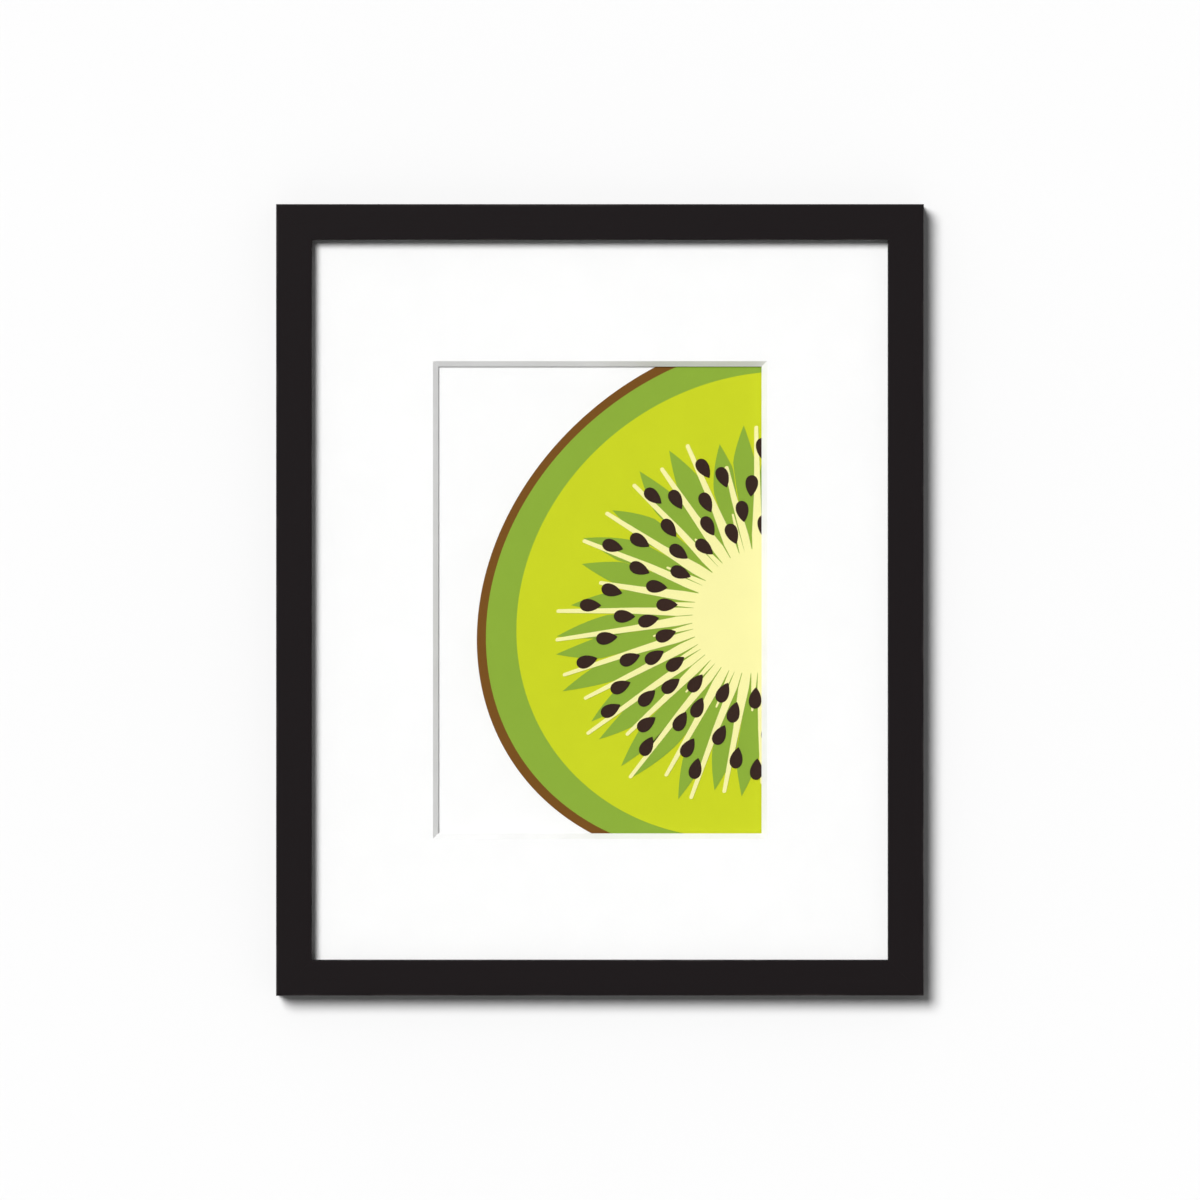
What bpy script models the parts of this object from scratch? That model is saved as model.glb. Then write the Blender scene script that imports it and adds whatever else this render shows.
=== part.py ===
"""A slim black picture frame lying face up, with a matted print of a kiwi slice behind clear glazing.

+Z points out of the front of the frame and +Y to the top of the picture.
The origin is the centre of the back, on the surface that the frame lies on.
"""

import math
import random

import bmesh
import bpy

MM = 0.001
INCH = 0.0254

# The wooden frame: what shows inside it, and the section of its rails
SIGHT_WIDTH = 8 * INCH
SIGHT_HEIGHT = 10 * INCH
RAIL_FACE = 0.5 * INCH
RAIL_DEPTH = 0.5 * INCH
LIP_WIDTH = 5 * MM
LIP_THICKNESS = 4 * MM
OUTER_EDGE_RADIUS = 0.8 * MM
INNER_EDGE_RADIUS = 0.5 * MM
BACK_EDGE_RADIUS = 0.4 * MM
EDGE_STEPS = 3

# The layers that the rails hold, front to back
GAP = 0.3 * MM
SIDE_PLAY = 0.7 * MM
GLAZING_THICKNESS = 1.2 * MM
MAT_THICKNESS = 1.9 * MM
BACKING_THICKNESS = 1.6 * MM
PAPER_THICKNESS = 0.35 * MM

# The window in the mat, as wide as it is at the mat's back, and the sheet behind it
WINDOW_WIDTH = 4.5 * INCH
WINDOW_HEIGHT = 6.5 * INCH
PAPER_WIDTH = 5 * INCH
PAPER_HEIGHT = 7 * INCH

# The printed fields of colour lie one over the other, in this order from the paper up
FIELDS = ("print_skin", "print_outer_flesh", "print_inner_flesh", "print_petals", "print_core")
FIELD_THICKNESS = 0.05 * MM
FIELD_GAP = 0.05 * MM
PAPER_MARGIN = 0.3 * MM

# The kiwi slice is larger than the window and enters it from the right.
# Each of its ovals is (centre x, centre y, half length, half width), and they lean alike.
SKIN_OVAL = (57 * MM, 1.8 * MM, 106 * MM, 88.5 * MM)
OUTER_FLESH_OVAL = (56.3 * MM, 1 * MM, 101.6 * MM, 85.7 * MM)
INNER_FLESH_OVAL = (56.4 * MM, -1.7 * MM, 89.1 * MM, 79.2 * MM)
OVAL_TILT = math.radians(35)
OVAL_STEPS = 128

# Pale rays leave the core, with a dark petal between each two. All of it is stretched the way the
# ovals lean, and the lengths here are those across the stretch.
CORE_CENTRE = (56.4 * MM, -3.5 * MM)
CORE_RADIUS = 21 * MM
CORE_STRETCH = 1.19
RAY_COUNT = 36
RAY_REACH = 61.5 * MM
RAY_REACH_SPREAD = 3 * MM
SHORT_RAY_EVERY = 6
SHORT_RAY_LESS = 9 * MM
RAY_ROOT_WIDTH = 4.6 * MM
RAY_FOOT_RADIUS = 26 * MM
RAY_FOOT_WIDTH = 3.8 * MM
RAY_WAIST_RADIUS = 40 * MM
RAY_WAIST_WIDTH = 2 * MM
RAY_TIP_WIDTH = 1.2 * MM
TIP_TURNS = [math.radians(a) for a in (0, 35, 65, 90)]
SPIKE_REACH = 33 * MM
SPIKE_REACH_SPREAD = 2 * MM
SPIKE_ROOT_WIDTH = 2.4 * MM
SPIKE_TIP_WIDTH = 0.6 * MM
SPIKE_EVERY = 2
PETAL_REACH = 62 * MM
PETAL_REACH_SPREAD = 3 * MM
PETAL_LEAN = math.radians(2.5)
PETAL_WIDTH = 8.2 * MM
PETAL_FOOT_RADIUS = 17 * MM
PETAL_FOOT_SHARE = 0.25
PETAL_STEPS = 10
PETAL_WIDEST_AT = 0.63
PETAL_POINT_POWER = 1.5
SECTOR_SHARE = 0.94
ANGLE_SPREAD = math.radians(1.5)

# Seeds lie beside the rays, left and right by turns, with their points towards the core
SEED_LENGTH = 7.6 * MM
SEED_WIDTH = 4.5 * MM
SEED_POINT_POWER = 0.75
SEED_STEPS = 18
SEED_SIDE_STEP = 2 * MM
SEED_RELIEF = 0.05 * MM
SEED_RADII = (
    (29 * MM, 42 * MM, 54 * MM),
    (35 * MM, 48 * MM),
)
SEED_SPREAD = 0.8 * MM
SEED_TURN_SPREAD = math.radians(8)
RAY_PAST_SEED = 2 * MM
LAYOUT_SEED = 480

# What holds the layers in at the back, and what the frame hangs by
TAB_WIDTH = 9 * MM
TAB_LENGTH = 15 * MM
TAB_THICKNESS = 0.5 * MM
TAB_CORNER_STEPS = 6
HANGER_LENGTH = 46 * MM
HANGER_HEIGHT = 8 * MM
HANGER_THICKNESS = 0.6 * MM
HANGER_RISE = 0.9 * MM
HANGER_EAR = 9 * MM
HANGER_SLOPE = 2.5 * MM
HANGER_TOP_Y = 112 * MM
TOOTH_COUNT = 9
TOOTH_DEPTH = 1.8 * MM
RIVET_RADIUS = 2 * MM
RIVET_HEIGHT = 0.6 * MM
RIVET_SIDES = 24

# Edges sharper than this stay crisp on round pieces
SHARP_ANGLE = math.radians(35)

# Heights above the surface that the frame lies on
LIP_Z = RAIL_DEPTH - LIP_THICKNESS
GLAZING_Z = LIP_Z - GAP - GLAZING_THICKNESS
MAT_Z = GLAZING_Z - GAP - MAT_THICKNESS
FIELD_STEP = FIELD_THICKNESS + FIELD_GAP
PAPER_Z = MAT_Z - GAP - SEED_RELIEF - len(FIELDS) * FIELD_STEP - PAPER_THICKNESS
BACKING_Z = PAPER_Z - GAP - BACKING_THICKNESS

OUTER_WIDTH = SIGHT_WIDTH + 2 * RAIL_FACE
OUTER_HEIGHT = SIGHT_HEIGHT + 2 * RAIL_FACE
LAYER_WIDTH = SIGHT_WIDTH + 2 * (LIP_WIDTH - SIDE_PLAY)
LAYER_HEIGHT = SIGHT_HEIGHT + 2 * (LIP_WIDTH - SIDE_PLAY)


def material(name, colour, roughness, metallic=0.0, alpha=1.0):
    """A Principled material. The colour is linear red, green and blue."""
    made = bpy.data.materials.new(name)
    made.use_nodes = True
    shader = made.node_tree.nodes["Principled BSDF"]
    shader.inputs["Base Color"].default_value = (*colour, 1.0)
    shader.inputs["Roughness"].default_value = roughness
    shader.inputs["Metallic"].default_value = metallic
    shader.inputs["Alpha"].default_value = alpha
    made.diffuse_color = (*colour, alpha)
    return made


def add_object(name, bm, finish):
    """Turns a bmesh into a named object in the scene, with its faces pointing out."""
    bmesh.ops.recalc_face_normals(bm, faces=bm.faces)
    mesh = bpy.data.meshes.new(name)
    bm.to_mesh(mesh)
    bm.free()
    mesh.shade_smooth()
    mesh.set_sharp_from_angle(angle=SHARP_ANGLE)
    mesh.materials.append(finish)
    made = bpy.data.objects.new(name, mesh)
    bpy.context.scene.collection.objects.link(made)
    return made


def raise_faces(bm, rise):
    """Gives flat faces a thickness, upwards or, with a negative rise, downwards."""
    raised = bmesh.ops.extrude_face_region(bm, geom=bm.faces[:])
    verts = [v for v in raised["geom"] if isinstance(v, bmesh.types.BMVert)]
    bmesh.ops.translate(bm, vec=(0, 0, rise), verts=verts)


def block(name, width, height, low, high, finish):
    """A flat board, centred on the origin, between two heights."""
    bm = bmesh.new()
    bmesh.ops.create_cube(bm, size=1)
    bmesh.ops.scale(bm, vec=(width, height, high - low), verts=bm.verts)
    bmesh.ops.translate(bm, vec=(0, 0, (low + high) / 2), verts=bm.verts)
    return add_object(name, bm, finish)


def corner_arc(centre, radius, start_deg, steps):
    """Points along a quarter circle that turns clockwise from an angle."""
    angles = [math.radians(start_deg - 90 * i / steps) for i in range(steps + 1)]
    return [(centre[0] + radius * math.cos(a), centre[1] + radius * math.sin(a)) for a in angles]


def rail_profile():
    """The rail's section, as (distance in from the outer side, height) points."""
    back = BACK_EDGE_RADIUS
    outer = OUTER_EDGE_RADIUS
    inner = INNER_EDGE_RADIUS
    wall = RAIL_FACE - LIP_WIDTH
    return [
        *corner_arc((back, back), back, 270, EDGE_STEPS),
        *corner_arc((outer, RAIL_DEPTH - outer), outer, 180, EDGE_STEPS),
        *corner_arc((RAIL_FACE - inner, RAIL_DEPTH - inner), inner, 90, EDGE_STEPS),
        (RAIL_FACE, LIP_Z),
        (wall, LIP_Z),
        *corner_arc((wall - back, back), back, 0, EDGE_STEPS),
    ]


def mitred_rail(name, length, distance, turns, finish):
    """One side of the frame, its ends cut at 45 degrees, turned by quarter turns about the middle."""
    setback = GAP / math.sqrt(2)
    bm = bmesh.new()
    section = [
        bm.verts.new((-length / 2 + inward + setback, inward - distance, height))
        for inward, height in rail_profile()
    ]
    far_end = bmesh.ops.extrude_face_region(bm, geom=[bm.faces.new(section)])
    for vert in far_end["geom"]:
        if isinstance(vert, bmesh.types.BMVert):
            vert.co.x = -vert.co.x
    rail = add_object(name, bm, finish)
    rail.rotation_euler.z = turns * math.pi / 2
    return rail


def add_frame(finish):
    """The four rails, each clear of the next by a hairline at the mitre."""
    mitred_rail("rail_bottom", OUTER_WIDTH, OUTER_HEIGHT / 2, 0, finish)
    mitred_rail("rail_right", OUTER_HEIGHT, OUTER_WIDTH / 2, 1, finish)
    mitred_rail("rail_top", OUTER_WIDTH, OUTER_HEIGHT / 2, 2, finish)
    mitred_rail("rail_left", OUTER_HEIGHT, OUTER_WIDTH / 2, 3, finish)


def rectangle(bm, width, height, z):
    """The four corners of a rectangle centred on the Z axis, in order."""
    signs = ((-1, -1), (1, -1), (1, 1), (-1, 1))
    return [bm.verts.new((sx * width / 2, sy * height / 2, z)) for sx, sy in signs]


def add_mat(finish):
    """The mat board. Its window's edge is cut at 45 degrees, so the window opens wider to the front."""
    bm = bmesh.new()
    front = MAT_Z + MAT_THICKNESS
    rings = [
        rectangle(bm, WINDOW_WIDTH, WINDOW_HEIGHT, MAT_Z),
        rectangle(bm, LAYER_WIDTH, LAYER_HEIGHT, MAT_Z),
        rectangle(bm, LAYER_WIDTH, LAYER_HEIGHT, front),
        rectangle(bm, WINDOW_WIDTH + 2 * MAT_THICKNESS, WINDOW_HEIGHT + 2 * MAT_THICKNESS, front),
    ]
    for ring, following in zip(rings, rings[1:] + rings[:1]):
        for i in range(4):
            j = (i + 1) % 4
            bm.faces.new((ring[i], ring[j], following[j], following[i]))
    return add_object("mat_board", bm, finish)


def field_base(name):
    """The height of a printed field's underside."""
    return PAPER_Z + PAPER_THICKNESS + FIELDS.index(name) * FIELD_STEP + FIELD_GAP


def on_paper(bm):
    """Trims a flat bmesh to the sheet, less a small margin."""
    for sign in (-1, 1):
        for axis, size in ((0, PAPER_WIDTH), (1, PAPER_HEIGHT)):
            normal = [0, 0, 0]
            normal[axis] = sign
            edge = [sign * (size / 2 - PAPER_MARGIN) * (i == axis) for i in range(3)]
            bmesh.ops.bisect_plane(
                bm,
                geom=bm.verts[:] + bm.edges[:] + bm.faces[:],
                plane_co=edge,
                plane_no=normal,
                clear_outer=True,
            )


def add_field(name, outline, finish):
    """One printed colour: a flat outline trimmed to the sheet and given its thickness."""
    bm = bmesh.new()
    bm.faces.new([bm.verts.new((x, y, field_base(name))) for x, y in outline])
    on_paper(bm)
    raise_faces(bm, FIELD_THICKNESS)
    return add_object(name, bm, finish)


def placed(centre, along, across, heading):
    """The point that lies along and across a heading from a centre."""
    return (
        centre[0] + along * math.cos(heading) - across * math.sin(heading),
        centre[1] + along * math.sin(heading) + across * math.cos(heading),
    )


def oval(centre_x, centre_y, half_length, half_width):
    """The outline of one of the slice's leaning ovals."""
    turns = [2 * math.pi * i / OVAL_STEPS for i in range(OVAL_STEPS)]
    return [
        placed((centre_x, centre_y), half_length * math.cos(t), half_width * math.sin(t), OVAL_TILT)
        for t in turns
    ]


def from_core(radius, angle):
    """The point at a distance and direction from the core's centre, stretched the way the ovals lean."""
    return placed(CORE_CENTRE, CORE_STRETCH * radius * math.cos(angle), radius * math.sin(angle), OVAL_TILT)


def slice_layout():
    """Works out the rays, spikes, petals and seeds. Rays and spikes are (angle, reach), petals
    (angle, reach, lean), and seeds (angle, radius, step aside, turn)."""
    draw = random.Random(LAYOUT_SEED)
    sector = 2 * math.pi / RAY_COUNT
    rays, spikes, petals, seeds = [], [], [], []
    for i in range(RAY_COUNT):
        angle = i * sector + draw.uniform(-ANGLE_SPREAD, ANGLE_SPREAD)
        between = (i + 0.5) * sector + draw.uniform(-ANGLE_SPREAD, ANGLE_SPREAD)
        reach = RAY_REACH + draw.uniform(-RAY_REACH_SPREAD, RAY_REACH_SPREAD)
        if i % SHORT_RAY_EVERY == 1:
            reach -= SHORT_RAY_LESS
        rays.append((angle, reach))
        petal_reach = PETAL_REACH + draw.uniform(-PETAL_REACH_SPREAD, PETAL_REACH_SPREAD)
        petals.append((between, petal_reach, draw.uniform(-PETAL_LEAN, PETAL_LEAN)))
        if i % SPIKE_EVERY == 1:
            spikes.append((between, SPIKE_REACH + draw.uniform(-SPIKE_REACH_SPREAD, SPIKE_REACH_SPREAD)))
        for row, radius in enumerate(SEED_RADII[i % len(SEED_RADII)]):
            place = radius + draw.uniform(-SEED_SPREAD, SEED_SPREAD)
            side = SEED_SIDE_STEP if row % 2 else -SEED_SIDE_STEP
            turn = draw.uniform(-SEED_TURN_SPREAD, SEED_TURN_SPREAD)
            if place + RAY_PAST_SEED < reach:
                seeds.append((angle, place, side, turn))
    return rays, spikes, petals, seeds


def petal_half_width(share):
    """Half a petal's width at a share of the way from its foot to its pointed tip."""
    if share < PETAL_WIDEST_AT:
        swell = math.sin(math.pi / 2 * share / PETAL_WIDEST_AT)
        grown = PETAL_FOOT_SHARE + (1 - PETAL_FOOT_SHARE) * swell
    else:
        grown = 1 - ((share - PETAL_WIDEST_AT) / (1 - PETAL_WIDEST_AT)) ** PETAL_POINT_POWER
    return grown * PETAL_WIDTH / 2


def petal_sides(reach):
    """(radius, half width) pairs along one side of a petal, from its foot to its tip."""
    shares = [i / PETAL_STEPS for i in range(PETAL_STEPS + 1)]
    length = reach - PETAL_FOOT_RADIUS
    return [(PETAL_FOOT_RADIUS + s * length, petal_half_width(s)) for s in shares]


def blunt_tip(reach, width):
    """(radius, half width) pairs round one side of a spoke's rounded tip."""
    half = width / 2
    return [(reach - half + half * math.sin(a), half * math.cos(a)) for a in TIP_TURNS]


def ray_sides(reach):
    """(radius, half width) pairs along one side of a ray, from the core to its tip."""
    return [
        (CORE_RADIUS, RAY_ROOT_WIDTH / 2),
        (RAY_FOOT_RADIUS, RAY_FOOT_WIDTH / 2),
        (RAY_WAIST_RADIUS, RAY_WAIST_WIDTH / 2),
        *blunt_tip(reach, RAY_TIP_WIDTH),
    ]


def spike_sides(reach):
    """(radius, half width) pairs along one side of a short spike between two rays."""
    return [(CORE_RADIUS, SPIKE_ROOT_WIDTH / 2), *blunt_tip(reach, SPIKE_TIP_WIDTH)]


def rosette(spokes):
    """The outline of spokes round the centre. Each is (angle, lean, sides), stays in its own sector,
    and has its tip turned aside by its lean."""
    spokes = sorted(spokes)
    points = []
    for i, (angle, lean, sides) in enumerate(spokes):
        before = SECTOR_SHARE * ((angle - spokes[i - 1][0]) % (2 * math.pi)) / 2
        after = SECTOR_SHARE * ((spokes[(i + 1) % len(spokes)][0] - angle) % (2 * math.pi)) / 2
        foot, tip = sides[0][0], sides[-1][0]
        middles = [angle + lean * ((radius - foot) / (tip - foot)) ** 3 for radius, _ in sides]
        one_side = [
            from_core(radius, middle - min(half_width / radius, before))
            for (radius, half_width), middle in zip(sides, middles)
        ]
        other_side = [
            from_core(radius, middle + min(half_width / radius, after))
            for (radius, half_width), middle in zip(sides, middles)
        ]
        points += one_side + other_side[-2::-1]
    return points


def seed_outline(angle, radius, step_aside, turn):
    """A drop shape with its point towards the core, on one side of its ray."""
    on_ray = from_core(radius, angle)
    outward = math.atan2(on_ray[1] - CORE_CENTRE[1], on_ray[0] - CORE_CENTRE[0])
    centre = placed(on_ray, 0, step_aside, outward)
    turns = [2 * math.pi * i / SEED_STEPS for i in range(SEED_STEPS)]
    widths = [math.sin(t) * math.sin(t / 2) ** SEED_POINT_POWER for t in turns]
    return [
        placed(
            centre,
            SEED_LENGTH / 2 * math.cos(t),
            SEED_WIDTH / 2 * width / max(widths),
            outward + math.pi + turn,
        )
        for t, width in zip(turns, widths)
    ]


def is_on_paper(outline):
    """True if a whole outline lies inside the trimmed sheet."""
    half_width = PAPER_WIDTH / 2 - 2 * PAPER_MARGIN
    half_height = PAPER_HEIGHT / 2 - 2 * PAPER_MARGIN
    return all(abs(x) < half_width and abs(y) < half_height for x, y in outline)


def join_seeds(core, seeds, finish):
    """Fuses the seeds to the pale field that they lie on, a little proud of it."""
    base = field_base(core.name) + FIELD_THICKNESS / 2
    group = bpy.data.collections.new("seeds")
    bpy.context.scene.collection.children.link(group)
    for seed in seeds:
        outline = seed_outline(*seed)
        if not is_on_paper(outline):
            continue
        bm = bmesh.new()
        bm.faces.new([bm.verts.new((x, y, base)) for x, y in outline])
        raise_faces(bm, FIELD_THICKNESS / 2 + SEED_RELIEF)
        made = add_object("seed", bm, finish)
        bpy.context.scene.collection.objects.unlink(made)
        group.objects.link(made)
    core.data.materials.append(finish)
    join = core.modifiers.new("seeds", "BOOLEAN")
    join.operation = "UNION"
    join.operand_type = "COLLECTION"
    join.collection = group
    join.material_mode = "TRANSFER"
    graph = bpy.context.evaluated_depsgraph_get()
    joined = bpy.data.meshes.new_from_object(core.evaluated_get(graph))
    core.modifiers.remove(join)
    core.data = joined
    for made in list(group.objects):
        bpy.data.objects.remove(made)
    bpy.data.collections.remove(group)


def add_print(finishes):
    """The sheet of paper and the kiwi slice printed on it, field by field."""
    rays, spikes, petals, seeds = slice_layout()
    block("print_paper", PAPER_WIDTH, PAPER_HEIGHT, PAPER_Z, PAPER_Z + PAPER_THICKNESS, finishes["paper"])
    add_field("print_skin", oval(*SKIN_OVAL), finishes["skin"])
    add_field("print_outer_flesh", oval(*OUTER_FLESH_OVAL), finishes["dark_flesh"])
    add_field("print_inner_flesh", oval(*INNER_FLESH_OVAL), finishes["pale_flesh"])
    petal_spokes = [(angle, lean, petal_sides(reach)) for angle, reach, lean in petals]
    add_field("print_petals", rosette(petal_spokes), finishes["dark_flesh"])
    core_spokes = [(angle, 0, ray_sides(reach)) for angle, reach in rays]
    core_spokes += [(angle, 0, spike_sides(reach)) for angle, reach in spikes]
    core = add_field("print_core", rosette(core_spokes), finishes["core"])
    join_seeds(core, seeds, finishes["seed"])


def add_tab(name, x, y, turns, finish):
    """A thin steel tab that lies on the backing and points at the nearest rail."""
    half = TAB_WIDTH / 2
    nose = [math.pi / 2 + math.pi * i / TAB_CORNER_STEPS for i in range(TAB_CORNER_STEPS + 1)]
    outline = [(half * math.cos(a), half * math.sin(a)) for a in nose]
    outline += [(TAB_LENGTH - half, -half), (TAB_LENGTH - half, half)]
    bm = bmesh.new()
    bm.faces.new([bm.verts.new((px, py, 0)) for px, py in outline])
    raise_faces(bm, TAB_THICKNESS)
    tab = add_object(name, bm, finish)
    tab.location = (x, y, BACKING_Z - GAP - TAB_THICKNESS)
    tab.rotation_euler.z = turns * math.pi / 2
    return tab


def add_tabs(finish):
    """Two tabs on each side of the frame, a quarter of the way in from its corners."""
    wall_x = OUTER_WIDTH / 2 - (RAIL_FACE - LIP_WIDTH)
    wall_y = OUTER_HEIGHT / 2 - (RAIL_FACE - LIP_WIDTH)
    reach = TAB_LENGTH - TAB_WIDTH / 2 + GAP
    for side in (-1, 1):
        end = "a" if side < 0 else "b"
        add_tab(f"tab_right_{end}", wall_x - reach, side * SIGHT_HEIGHT / 4, 0, finish)
        add_tab(f"tab_top_{end}", side * SIGHT_WIDTH / 4, wall_y - reach, 1, finish)
        add_tab(f"tab_left_{end}", reach - wall_x, side * SIGHT_HEIGHT / 4, 2, finish)
        add_tab(f"tab_bottom_{end}", side * SIGHT_WIDTH / 4, reach - wall_y, 3, finish)


def hanger_stations():
    """(x, lower edge, height above the ears) along the hanger, with teeth on its raised stretch."""
    raised_half = HANGER_LENGTH / 2 - HANGER_EAR - HANGER_SLOPE
    ends = [(HANGER_LENGTH / 2, 0, 0), (HANGER_LENGTH / 2 - HANGER_EAR, 0, 0)]
    stations = [(-x, low, rise) for x, low, rise in ends]
    for i in range(2 * TOOTH_COUNT + 1):
        x = raised_half * (i / TOOTH_COUNT - 1)
        stations.append((x, TOOTH_DEPTH * (i % 2), HANGER_RISE))
    return stations + ends[::-1]


def add_hanger(finish):
    """The toothed strip on the backing that a nail catches, and its two rivets."""
    base = BACKING_Z - GAP
    bm = bmesh.new()
    columns = []
    for x, low, rise in hanger_stations():
        edges = (HANGER_TOP_Y - HANGER_HEIGHT + low, HANGER_TOP_Y)
        columns.append([bm.verts.new((x, y, base - rise)) for y in edges])
    for left, right in zip(columns, columns[1:]):
        bm.faces.new((left[0], right[0], right[1], left[1]))
    raise_faces(bm, -HANGER_THICKNESS)
    add_object("hanger", bm, finish)
    for side in (-1, 1):
        bm = bmesh.new()
        bmesh.ops.create_cone(
            bm,
            cap_ends=True,
            segments=RIVET_SIDES,
            radius1=RIVET_RADIUS / 2,
            radius2=RIVET_RADIUS,
            depth=RIVET_HEIGHT,
        )
        x = side * (HANGER_LENGTH - HANGER_EAR) / 2
        z = base - HANGER_THICKNESS - GAP - RIVET_HEIGHT / 2
        bmesh.ops.translate(bm, vec=(x, HANGER_TOP_Y - HANGER_HEIGHT / 2, z), verts=bm.verts)
        add_object("rivet_left" if side < 0 else "rivet_right", bm, finish)


def main():
    for leftover in list(bpy.data.objects):
        bpy.data.objects.remove(leftover)
    finishes = {
        "paper": material("white_paper", (0.90, 0.90, 0.89), 0.8),
        "skin": material("brown_ink", (0.191, 0.082, 0.018), 0.6),
        "dark_flesh": material("leaf_green_ink", (0.270, 0.429, 0.048), 0.6),
        "pale_flesh": material("lime_ink", (0.604, 0.672, 0.022), 0.6),
        "core": material("cream_ink", (0.956, 0.913, 0.413), 0.6),
        "seed": material("seed_ink", (0.042, 0.023, 0.019), 0.6),
    }
    black = material("black_paint", (0.017, 0.014, 0.014), 0.42)
    clear = material("clear_glazing", (1.0, 1.0, 1.0), 0.03, alpha=0.08)
    board = material("mat_board", (0.90, 0.90, 0.89), 0.85)
    brown_board = material("hardboard", (0.30, 0.18, 0.09), 0.8)
    steel = material("zinc_plate", (0.62, 0.62, 0.60), 0.35, metallic=1.0)
    add_frame(black)
    block("glazing", LAYER_WIDTH, LAYER_HEIGHT, GLAZING_Z, GLAZING_Z + GLAZING_THICKNESS, clear)
    add_mat(board)
    add_print(finishes)
    backing_top = BACKING_Z + BACKING_THICKNESS
    block("backing_board", LAYER_WIDTH, LAYER_HEIGHT, BACKING_Z, backing_top, brown_board)
    add_tabs(steel)
    add_hanger(steel)


main()
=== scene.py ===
"""A slim black picture frame lying face up, with a matted print of a kiwi slice behind clear glazing.

+Z points out of the front of the frame and +Y to the top of the picture.
"""

import math
import random

import bmesh
import bpy
from mathutils import Matrix, Vector


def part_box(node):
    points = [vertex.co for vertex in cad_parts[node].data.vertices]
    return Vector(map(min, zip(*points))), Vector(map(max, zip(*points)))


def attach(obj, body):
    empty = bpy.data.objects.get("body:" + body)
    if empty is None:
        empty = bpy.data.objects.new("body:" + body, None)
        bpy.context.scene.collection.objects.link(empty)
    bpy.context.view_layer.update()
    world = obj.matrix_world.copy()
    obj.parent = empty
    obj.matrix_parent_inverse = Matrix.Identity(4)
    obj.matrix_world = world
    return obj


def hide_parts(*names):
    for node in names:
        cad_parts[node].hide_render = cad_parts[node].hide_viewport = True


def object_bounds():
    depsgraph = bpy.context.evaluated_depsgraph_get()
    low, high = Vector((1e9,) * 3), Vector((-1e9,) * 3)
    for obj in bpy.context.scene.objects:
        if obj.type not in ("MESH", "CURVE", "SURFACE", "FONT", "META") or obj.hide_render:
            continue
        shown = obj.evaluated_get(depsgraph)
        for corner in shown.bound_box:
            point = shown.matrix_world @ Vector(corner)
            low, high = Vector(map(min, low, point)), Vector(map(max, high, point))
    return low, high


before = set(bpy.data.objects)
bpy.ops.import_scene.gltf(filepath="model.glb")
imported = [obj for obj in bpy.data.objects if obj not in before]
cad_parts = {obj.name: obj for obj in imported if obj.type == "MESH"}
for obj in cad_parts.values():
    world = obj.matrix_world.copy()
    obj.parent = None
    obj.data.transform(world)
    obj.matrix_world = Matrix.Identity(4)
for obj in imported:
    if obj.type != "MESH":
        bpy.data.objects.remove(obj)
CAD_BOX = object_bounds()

bl_info = {
    "name": "Framed Kiwi Print",
    "version": (1, 0, 0),
    "blender": (4, 5, 0),
    "location": "3D View > Sidebar > Framed Print",
    "description": "Dresses a packed picture frame: painted rails, glazing, mat, print and back",
    "category": "Object",
}

MM = 0.001
INCH = 0.0254
BODY = "root"

# The whole photo is this wide at the frame's face, and square
PICTURE_WIDTH = 1200 / 72 * INCH

# The camera's sensor in millimetres, and the distance to which it sees
SENSOR_WIDTH = 36
VIEW_END = 100

QUARTER_TURN = math.pi / 2

# Rounded edges
ROUND_STEPS = 6
SMALL_ROUND_STEPS = 2
SMOOTH_ANGLE = math.radians(35)
UNDER_LIP_SHARE = 1 / 3
PANE_EDGE = 0.15 * MM
SHEET_EDGE = 0.05 * MM

# Points closer than this are one
NEAR = 0.001 * MM

# The print's ovals are (centre x, centre y, half length, half width), and they lean alike
SKIN_OVAL = (57 * MM, 1.8 * MM, 106 * MM, 88.5 * MM)
OUTER_FLESH_OVAL = (56.3 * MM, 1 * MM, 101.6 * MM, 85.7 * MM)
INNER_FLESH_OVAL = (56.4 * MM, -1.7 * MM, 89.1 * MM, 79.2 * MM)
OVAL_TILT = math.radians(35)
OVAL_STEPS = 360
PAPER_MARGIN = 0.3 * MM
INK_CLEARANCE = 0.01 * MM

# The studio light makes a printed colour this many times brighter, and the pane adds this much
PRINT_LIGHT = 1.11
PANE_VEIL = 0.0065

# Pale rays leave the core, with a dark petal between each two. All of it is stretched the way the
# ovals lean, and the lengths here are those across the stretch.
CORE_CENTRE = (56.4 * MM, -3.5 * MM)
CORE_RADIUS = 21 * MM
CORE_STRETCH = 1.19
RAY_REACH = 61.5 * MM
RAY_REACH_SPREAD = 3 * MM
SHORT_RAY_EVERY = 6
SHORT_RAY_LESS = 9 * MM
RAY_ROOT_WIDTH = 4.6 * MM
RAY_FOOT_RADIUS = 26 * MM
RAY_FOOT_WIDTH = 3.8 * MM
RAY_WAIST_RADIUS = 40 * MM
RAY_WAIST_WIDTH = 2 * MM
RAY_TIP_WIDTH = 1.2 * MM
TIP_STEPS = 8
SPIKE_REACH = 33 * MM
SPIKE_REACH_SPREAD = 2 * MM
SPIKE_ROOT_WIDTH = 2.4 * MM
SPIKE_TIP_WIDTH = 0.6 * MM
SPIKE_EVERY = 2
PETAL_REACH = 62 * MM
PETAL_REACH_SPREAD = 3 * MM
PETAL_LEAN = math.radians(2.5)
PETAL_LEAN_POWER = 3
PETAL_WIDTH = 8.2 * MM
PETAL_FOOT_RADIUS = 17 * MM
PETAL_FOOT_SHARE = 0.25
PETAL_STEPS = 24
PETAL_WIDEST_AT = 0.63
PETAL_POINT_POWER = 1.5
SECTOR_SHARE = 0.94
ANGLE_SPREAD = math.radians(1.5)

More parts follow.
